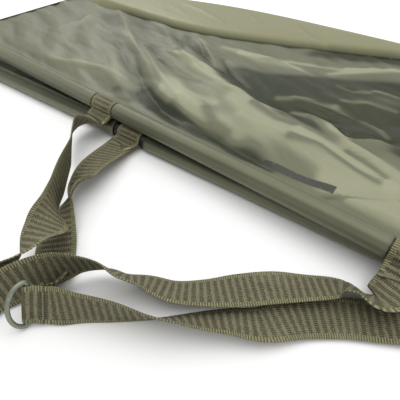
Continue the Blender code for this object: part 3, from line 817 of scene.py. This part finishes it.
along, across = np.meshgrid(np.linspace(-1, 1, lower["cells"][0] + 1),
                            np.linspace(0, 1.0, lower["cells"][1] + 1), indexing="ij")
lowerGrid = lowerPlaces(along, across, lower["front"], tuckDepth(halfLength * along), sling["cloth"] / 2)
wave = ripple(lowerGrid[..., 0], lowerGrid[..., 1], 12, *lower["rippleRange"], 11) * lower["ripple"]
wave = np.maximum(wave * np.sin(math.pi * across) ** 0.5, 0.0)
wave = wave * ramp(across, 0.1, 0.2) * smoothStep((0.95 - across) / 0.1)
lowerGrid[..., 2] += wave
# Its relief mark is painted light on the raised ripples and a little painted shade where it lies flat
lowerSheet = clothObject("lower_side_cloth", lowerGrid + origin, plainCloth, lowerGrid[..., :2],
                         {"relief": wave - 0.001})
print("lower side made")


# A length of the lower sleeve: a tube about the pole with small dents and a thicker hem at its
# ends, with painted streaks of light and shade, a little painted shade all over and more painted
# shade along the gap under the upper side
def lowerSleeve(name, low, high):
    cells = max(24, int((high - low) / lower["sleeveCell"]))
    x, angle = np.meshgrid(np.linspace(low, high, cells + 1),
                           np.linspace(0, 2 * math.pi, 48, endpoint=False), indexing="ij")
    toEnd = np.minimum(x - low, high - x)
    hem = 1 - ramp(toEnd, lower["hemRun"], 0.0012)
    dent = ripple(x * 0.35, angle * 0.010, 10, *lower["dentRange"], 22) * smoothStep(toEnd / 0.01)
    radius = cloth["sleeveRadius"] + lower["hemRise"] * hem + lower["dent"] * dent
    places = moved(poleFrame("lower"), joined(x, radius * np.cos(angle), radius * np.sin(angle)))
    shaded = np.exp(-(((np.degrees(angle) - cloth["gapTurn"]) / cloth["gapSpread"]) ** 2))
    relief = cloth["lowerShade"] + cloth["sleeveStreak"] * sleeveStreaks(x + 0.3, angle)
    obj = clothObject(f"lower_sleeve_cloth_{name}", places, plainCloth, joined(x, angle * 0.01),
                      {"relief": relief - cloth["gapShade"] * shaded}, wrap=True)
    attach(obj, "lower_side")
    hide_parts(f"lower_sleeve_{name}")
    return obj


outer = halfSpacing + sling["cutOutHalf"]["lower"]
inner = halfSpacing - sling["cutOutHalf"]["lower"]
sleeves = [
    lowerSleeve("left", -halfLength, -outer), lowerSleeve("centre", -inner, inner),
    lowerSleeve("right", outer, halfLength),
]
print("sleeves made")


bound = {
    "front": 0.0135, "back": 0.2600, "beyond": 0.0025, "endGap": 0.0018, "height": 0.0023,
    "radius": 0.00205, "rib": 0.00012, "ribPitch": 0.0036, "step": 0.0012, "sides": 14,
}


# Tape bound round an end edge, following the cloth's own height there
def binding(side, name, sign):
    across = np.linspace(0.0, 1.0, 120)
    if side == "upper":
        y = bound["front"] + (bound["back"] - bound["front"]) * across
        x = sign * halfLength
        path = joined(x + sign * bound["beyond"], y, upperHeight(x + 0 * y, y))
    else:
        end = tuckDepth(halfLength) - bound["endGap"]
        path = lowerPlaces(sign + 0 * across, across, bound["front"], end, bound["height"])
        path[:, 0] += sign * bound["beyond"]
    path, run = evenly(path + origin, bound["step"])
    radius = bound["radius"] + bound["rib"] * np.sin(2 * math.pi * run / bound["ribPitch"])
    obj = tubeObject(f"{side}_binding_tape_{name}", path, radius, bound["sides"], tape)
    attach(obj, f"{side}_side")
    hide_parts(f"{side}_binding_{name}")
    return obj


sides = ("lower", "upper")
ends = (("left", -1.0), ("right", 1.0))
bindings = {side: [binding(side, name, sign) for name, sign in ends] for side in sides}

# Stitches along the upper hem, over the valley behind the sleeve
hemHalf = halfLength - sewing["hemInset"]
hemX = np.linspace(-hemHalf, hemHalf, sewing["hemPoints"])
hemY = cloth["hem"] + 0 * hemX
hemZ = upperHeight(hemX, hemY) + upperRelief(hemX, hemY) + sewing["hemRise"]
hemPath = joined(hemX, hemY, hemZ) + origin
hemThread = threadObject("upper_hem_thread", hemPath, (0, 0, 1), sewing["stitch"])
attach(hemThread, "upper_side")

for obj in (upperSheet, gussetSheet):
    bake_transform(obj)
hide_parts("upper_panel", "upper_sleeve_left", "upper_sleeve_centre", "upper_sleeve_right")
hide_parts("base_gusset")
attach(lowerSheet, "lower_side")
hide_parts("lower_panel")


handle = {
    "reach": 0.220, "step": 0.0005, "crossPoints": 17, "loopInner": 0.0093, "loopOuter": 0.0111,
    "tongue": 0.0108, "tabLength": 0.0090, "eyeInner": 0.0024, "flapLength": 0.0005, "taper": 0.016,
    "plyGap": 0.00005, "stitchRise": 0.0004, "loopRows": (0.0135, 0.0190), "tabRow": 0.0115,
    "loopStitches": 0.0155, "tabStitches": 0.0135, "leftMeet": (0.0018, 0.0027), "layerGap": 0.0003,
    "pathStep": 0.003, "tabBack": 0.002, "lowest": 0.0004,
    "tilt": {"lower": 4.0, "upper": 25.0}, "heading": {"lower": 40.0, "upper": 80.0},
    "lean": {"lower": 28.0, "upper": 26.0}, "cant": {"lower": 5.0, "upper": 0.0},
    "tabEnd": {"lower": (-0.39, -1.02, 0.48), "upper": (-0.27, -1.14, 0.52)},
}

# Routes of the strap halves: shares of half the loop spacing, of the handle's reach and of the
# webbing's width, then the roll in degrees
routes = {
    ("lower", "left"): (
        (-0.94, -0.34, 0.47, 10), (-0.89, -0.47, 0.45, 28), (-0.85, -0.55, 0.45, 62),
        (-0.82, -0.63, 0.32, 42), (-0.75, -0.72, 0.16, 14), (-0.67, -0.79, 0.08, 0),
        (-0.60, -0.85, 0.08, 0), (-0.54, -0.90, 0.11, 5), (-0.49, -0.93, 0.21, 18),
        (-0.45, -0.95, 0.36, 42),
    ),
    ("lower", "right"): (
        (-0.27, -0.96, 0.52, 82), (-0.12, -0.88, 0.50, 98), (0.02, -0.81, 0.45, 120),
        (0.13, -0.73, 0.32, 138), (0.24, -0.65, 0.24, 152), (0.35, -0.58, 0.16, 165),
        (0.46, -0.47, 0.11, 178), (0.59, -0.38, 0.11, 180), (0.73, -0.31, 0.13, 180),
        (0.85, -0.25, 0.18, 180), (0.95, -0.20, 0.22, 180),
    ),
    ("upper", "left"): (
        (-0.98, -0.25, 0.79, 62), (-0.88, -0.34, 0.80, 71), (-0.79, -0.40, 0.81, 77),
        (-0.71, -0.49, 0.73, 85), (-0.61, -0.58, 0.80, 89), (-0.52, -0.67, 0.80, 91),
        (-0.43, -0.73, 0.82, 119), (-0.37, -0.79, 0.88, 163), (-0.34, -0.86, 0.94, 198),
        (-0.32, -0.94, 0.82, 224), (-0.34, -1.01, 0.69, 240), (-0.35, -1.07, 0.54, 269),
        (-0.34, -1.12, 0.42, 270),
    ),
    ("upper", "right"): (
        (-0.26, -1.08, 0.52, 72), (-0.21, -0.98, 0.64, 74), (-0.16, -0.89, 0.68, 84),
        (-0.10, -0.83, 0.74, 104), (-0.01, -0.77, 0.70, 118), (0.08, -0.74, 0.56, 130),
        (0.16, -0.69, 0.40, 142), (0.27, -0.64, 0.26, 152), (0.38, -0.56, 0.24, 160),
        (0.48, -0.47, 0.24, 170), (0.59, -0.37, 0.24, 170), (0.70, -0.29, 0.24, 160),
        (0.81, -0.22, 0.30, 150), (0.89, -0.21, 0.42, 132), (0.96, -0.20, 0.47, 152),
    ),
}
endRolls = {("lower", "left"): 90, ("upper", "left"): 270, ("lower", "right"): 62, ("upper", "right"): 64}
shareSize = np.array([halfSpacing, handle["reach"], 2 * webLook["halfWidth"]])


# A smooth path through rows: each stretch is the Catmull-Rom cubic of four rows
def smoothPath(rows, step):
    rows = np.array(rows, float)
    padded = np.vstack([2 * rows[0] - rows[1], rows, 2 * rows[-1] - rows[-2]])
    out = []
    for i in range(len(rows) - 1):
        before, here, after, later = padded[i: i + 4]
        count = max(1, round(float(np.linalg.norm(after[:3] - here[:3])) / step))
        t = (np.arange(count) / count)[:, None]
        out.append(0.5 * (2 * here + (after - before) * t + (2 * before - 5 * here + 4 * after - later) * t**2
                          + (3 * here - before - 3 * after + later) * t**3))
    out.append(rows[-1:])
    return np.vstack(out)


# The frame of a ring tab: X from the ring's bar to the sewn end, Z along the bar
def tabFrame(side):
    end = shareSize * handle["tabEnd"][side]
    turned = turn(2, handle["heading"][side]) @ turn(0, -handle["lean"][side]) @ turn(1, handle["cant"][side])
    back = -(handle["tabLength"] + handle["eyeInner"] + webLook["thickness"])
    return shift(*moved(poleGround(side), end)) @ turned @ shift(back, 0.0, 0.0)


# The frame of a pole loop: X along the pole, -Y along the webbing
def loopFrame(side, along):
    return poleFrame(side) @ shift(along, 0.0, 0.0) @ turn(0, handle["tilt"][side])


# A webbing's line bent round a bar of the given middle radius: in from one end, round the bar
# and out to the other; ends are how far out they lie and how many points lead there
def bentLine(middle, count, ends):
    half = webLook["thickness"] / 2 + handle["plyGap"]
    leave = math.asin(half / middle)
    angle = np.linspace(-leave, -2 * math.pi + leave, count)
    front, back = [np.linspace(end, middle * math.cos(leave), points)[:-1] for end, points in ends]
    out = np.concatenate([front, middle * np.cos(angle), back[::-1]])
    return out, np.concatenate([-half + 0 * front, middle * np.sin(angle), half + 0 * back])


# A pole loop's centre line, from the end of its lower layer round the pole to the upper one,
# and the direction across the webbing
def loopPath(side, along):
    tip = handle["loopOuter"] + handle["tongue"]
    out, up = bentLine((handle["loopInner"] + handle["loopOuter"]) / 2, 60, ((tip, 14), (tip, 14)))
    here = loopFrame(side, along)
    return moved(here, joined(0.0, -out, up)), here[:3, 0]


# A ring tab's centre line, from the end of its front flap round the bar and back behind
def tabPath(side):
    end = handle["eyeInner"] + webLook["thickness"] + handle["tabLength"]
    middle = handle["eyeInner"] + webLook["thickness"] / 2
    x, y = bentLine(middle, 40, ((end + handle["flapLength"], 24), (end - handle["tabBack"], 10)))
    here = tabFrame(side)
    return moved(here, joined(x, y, 0.0)), here[:3, 2]


# Centre line and across direction of a strap's free part: its side lies level at roll 0 and
# turns about the path by the roll
def freePath(side, name):
    roll = endRolls[side, name]
    tab = tabFrame(side)
    end = handle["eyeInner"] + webLook["thickness"] + handle["tabLength"]
    tip = handle["loopOuter"] + handle["tongue"]
    here = loopFrame(side, dict(ends)[name] * halfSpacing)
    loopEnds = moved(here, [(0, -(tip + handle["layerGap"]), 0), (0, -(tip + handle["tongue"] / 2), 0)])
    route = np.array(routes[side, name])
    rows = np.column_stack([moved(poleGround(side), shareSize * route[:, :3]), route[:, 3]])
    if name == "left":
        loopRows = np.column_stack([loopEnds, [0, 0]])
        inward, beside = handle["leftMeet"]
        tabEnds = moved(tab, [(end - inward, handle["tabLength"], 0), (end - inward, beside, 0)])
        rows = np.vstack([loopRows, rows, np.column_stack([tabEnds, [roll, roll]])])
    else:
        tabEnds = moved(tab, [(end + handle["layerGap"], 0, 0), (end + handle["tabLength"] / 2, 0, 0)])
        loopRows = np.column_stack([loopEnds[::-1], [180, 180]])
        rows = np.vstack([np.column_stack([tabEnds, [roll, roll]]), rows, loopRows])
    path = smoothPath(rows, handle["pathStep"])
    centre = path[:, :3]
    ahead = unit(np.gradient(centre, axis=0))
    level = unit(np.cross([0.0, 0.0, 1.0], ahead))
    up = np.cross(ahead, level)
    angle = np.radians(path[:, 3])[:, None]
    return centre, np.cos(angle) * level + np.sin(angle) * up


# Webbing along a path: a flat section with rounded edges; between its selvedges it rises and
# falls by the rib height with the tanh of the cosine of the run; halves are its half widths
def ribbon(name, centre, across, halves):
    look = webLook
    rows, run = evenly(np.hstack([centre, across, np.asarray(halves)[:, None]]), handle["step"])
    for _ in range(3):
        rows[1:-1] = 0.25 * rows[:-2] + 0.5 * rows[1:-1] + 0.25 * rows[2:]
    centre, across, half = rows[:, :3], rows[:, 3:6], rows[:, 6:]
    ahead = unit(np.gradient(centre, axis=0))
    across = unit(across - ahead * np.sum(across * ahead, axis=1)[:, None])
    face = np.cross(ahead, across)
    count = handle["crossPoints"]
    s = look["halfWidth"] * np.sin(0.5 * math.pi * np.linspace(-1, 1, count))
    edge = np.sqrt(np.maximum(1.0 - np.abs(s / look["halfWidth"]) ** 10, 0.0))
    middle = 1.0 - ramp(np.abs(s), look["halfWidth"] - look["selvedgeWidth"] - 0.0004, 0.0008)
    wave = np.tanh(2.2 * (np.cos(2 * math.pi * run / look["ribPitch"]) - 0.35))
    depth = 0.5 * look["thickness"] * edge + look["ribHeight"] * (wave[:, None] - 0.6) * middle
    flat = centre[:, None, :] + across[:, None, :] * (s * half / look["halfWidth"])[..., None]
    rise = face[:, None, :] * depth[..., None]
    points = np.hstack([flat + rise, (flat - rise)[:, -2:0:-1]])
    points[..., 2] = np.maximum(points[..., 2], handle["lowest"])
    uv = joined(run[:, None], np.concatenate([s, s[-2:0:-1]]))
    return gridObject(name, points, webbing, uv, wrap=True, caps=True)


# Half widths of a strap's free part, from the ring tab's to the full one over the taper
def freeHalves(centre):
    full = smoothStep(runAlong(centre) / handle["taper"])
    return webLook["tabHalf"] + (webLook["halfWidth"] - webLook["tabHalf"]) * full


# A row of stitches across the webbing, on the face that lift points from
def crossThread(name, centre, across, lift, half):
    places = centre + across * np.linspace(-half, half, 40)[:, None]
    return threadObject(name, places, lift, sewing["crossStitch"])


for side in sides:
    leftLoop, acrossLeft = loopPath(side, -halfSpacing)
    rightLoop, acrossRight = loopPath(side, halfSpacing)
    leftFree, leftAcross = freePath(side, "left")
    rightFree, rightAcross = freePath(side, "right")
    tabLine, tabAcross = tabPath(side)
    full = webLook["halfWidth"]
    left = ribbon(
        f"{side}_strap_left", np.vstack([leftLoop, leftFree]),
        np.vstack([0 * leftLoop + acrossLeft, leftAcross]),
        [*[full] * len(leftLoop), *freeHalves(leftFree[::-1])[::-1]])
    right = ribbon(
        f"{side}_strap_right", np.vstack([tabLine, rightFree, rightLoop[::-1]]),
        np.vstack([0 * tabLine + tabAcross, rightAcross, 0 * rightLoop + acrossRight]),
        [*[webLook["tabHalf"]] * len(tabLine), *freeHalves(rightFree), *[full] * len(rightLoop)])
    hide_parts(f"{side}_loop_left", f"{side}_web_left")
    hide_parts(f"{side}_ring_tab", f"{side}_web_right", f"{side}_loop_right")
    # two rows of stitches on each tongue, one on the tab's front flap
    pieces = [left, right]
    above = webLook["thickness"] + handle["stitchRise"]
    for name, sign in ends:
        here = loopFrame(side, sign * halfSpacing)
        for row, away in enumerate(handle["loopRows"]):
            middle = moved(here, (0.0, -away, above))
            pieces.append(crossThread(f"{side}_loop_thread_{name}_{row + 1}", middle, here[:3, 0],
                                      here[:3, 2], handle["loopStitches"]))
    tab = tabFrame(side)
    pieces.append(crossThread(f"{side}_tab_thread", moved(tab, (handle["tabRow"], -above, 0.0)),
                              tab[:3, 2], -tab[:3, 1], handle["tabStitches"]))
    for obj in pieces:
        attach(obj, f"{side}_strap")
print("handles made")

ring = {
    "wire": 0.0040, "depth": 0.0150, "corner": 0.0022, "gap": 0.0003, "sides": 18,
    "rest": {"lower": 45.0, "upper": 20.0},
}


# Centre line of a ring: a straight bar, two small corners and half an ellipse
def ringLine():
    corner, straight = ring["corner"], webLook["tabHalf"] + ring["gap"]
    small = np.linspace(0.0, math.pi / 2, 10)[1:]
    bend = np.array([-corner * (1 - np.cos(small)), straight + corner * np.sin(small)])
    turned = np.linspace(math.pi / 2, -math.pi / 2, 90)[1:-1]
    bow = np.array([-corner - (ring["depth"] - corner) * np.cos(turned),
                    (straight + corner) * np.sin(turned)])
    bar = np.array([np.zeros(40), np.linspace(-straight, straight, 40)])
    x, z = np.hstack([bar, bend, bow, bend[:, ::-1] * [[1], [-1]]])
    return joined(x, 0.0, z)


for side in sides:
    path = moved(tabFrame(side) @ turn(2, ring["rest"][side]), ringLine())
    obj = tubeObject(f"{side}_wire_ring", path, ring["wire"] / 2, ring["sides"], ringCoat, closed=True)
    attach(obj, f"{side}_ring")
    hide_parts(f"{side}_d_ring")
print("rings made")

# The poles keep their solids, with a better finish
for side in sides:
    for part, finish in (("tube", tubeBlack), ("cap_left", capBlack), ("cap_right", capBlack)):
        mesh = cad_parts[f"{side}_pole_{part}"].data
        mesh.materials.clear()
        mesh.materials.append(finish.material)

# Floor, light and camera
stageLook = {
    "floor": (0.94, 0.94, 0.94), "floorHalf": 6.0, "world": 0.66, "lens": 35.0, "sensor": 36.0,
    "camera": (0.1902, -0.2702, 0.290), "ahead": (-0.4708, 0.5596, -0.682), "clip": (0.01, 50.0),
    # place, aim, width, height and power of each lamp
    "leftPanel": ((-1.6, 1.0, 1.15), (-0.1, 0.0, 0.0), 0.7, 0.5, 6.5),
    "topPanel": ((0.1, -0.1, 2.3), (0.0, -0.1, 0.0), 2.6, 2.6, 38.0),
}

span = stageLook["floorHalf"] * np.array([-1.0, 1.0])
floorFinish = Finish("paleFloor", 0.9, Specular_IOR_Level=0.1, Base_Color=(*stageLook["floor"], 1.0))
floor = gridObject("floor", joined(span[::-1, None], span, 0.0), floorFinish)

world = bpy.data.worlds.new("studio")
bpy.context.scene.world = world
world.use_nodes = True
world.node_tree.nodes["Background"].inputs[0].default_value = (1.0, 1.0, 1.0, 1.0)
world.node_tree.nodes["Background"].inputs[1].default_value = stageLook["world"]


# Turns an object's -Z along a direction
def face(obj, ahead):
    obj.rotation_euler = Vector(ahead).to_track_quat("-Z", "Y").to_euler()


# A soft panel of light at a place, aimed at another
def lamp(name):
    place, aim, width, height, power = stageLook[name]
    data = bpy.data.lights.new(name, "AREA")
    data.shape = "RECTANGLE"
    data.size, data.size_y, data.energy = width, height, power
    obj = linked(name, data)
    obj.location = place
    face(obj, Vector(aim) - Vector(place))


lamp("leftPanel")
lamp("topPanel")

camera = bpy.data.cameras.new("camera")
camera.lens, camera.sensor_width = stageLook["lens"], stageLook["sensor"]
camera.clip_start, camera.clip_end = stageLook["clip"]
cameraObject = linked("camera", camera)
cameraObject.location = np.array(stageLook["camera"]) + origin
face(cameraObject, np.array(stageLook["ahead"]) / np.linalg.norm(stageLook["ahead"]))
bpy.context.scene.camera = cameraObject
bpy.context.scene.view_settings.view_transform = "Standard"
print("stage made")
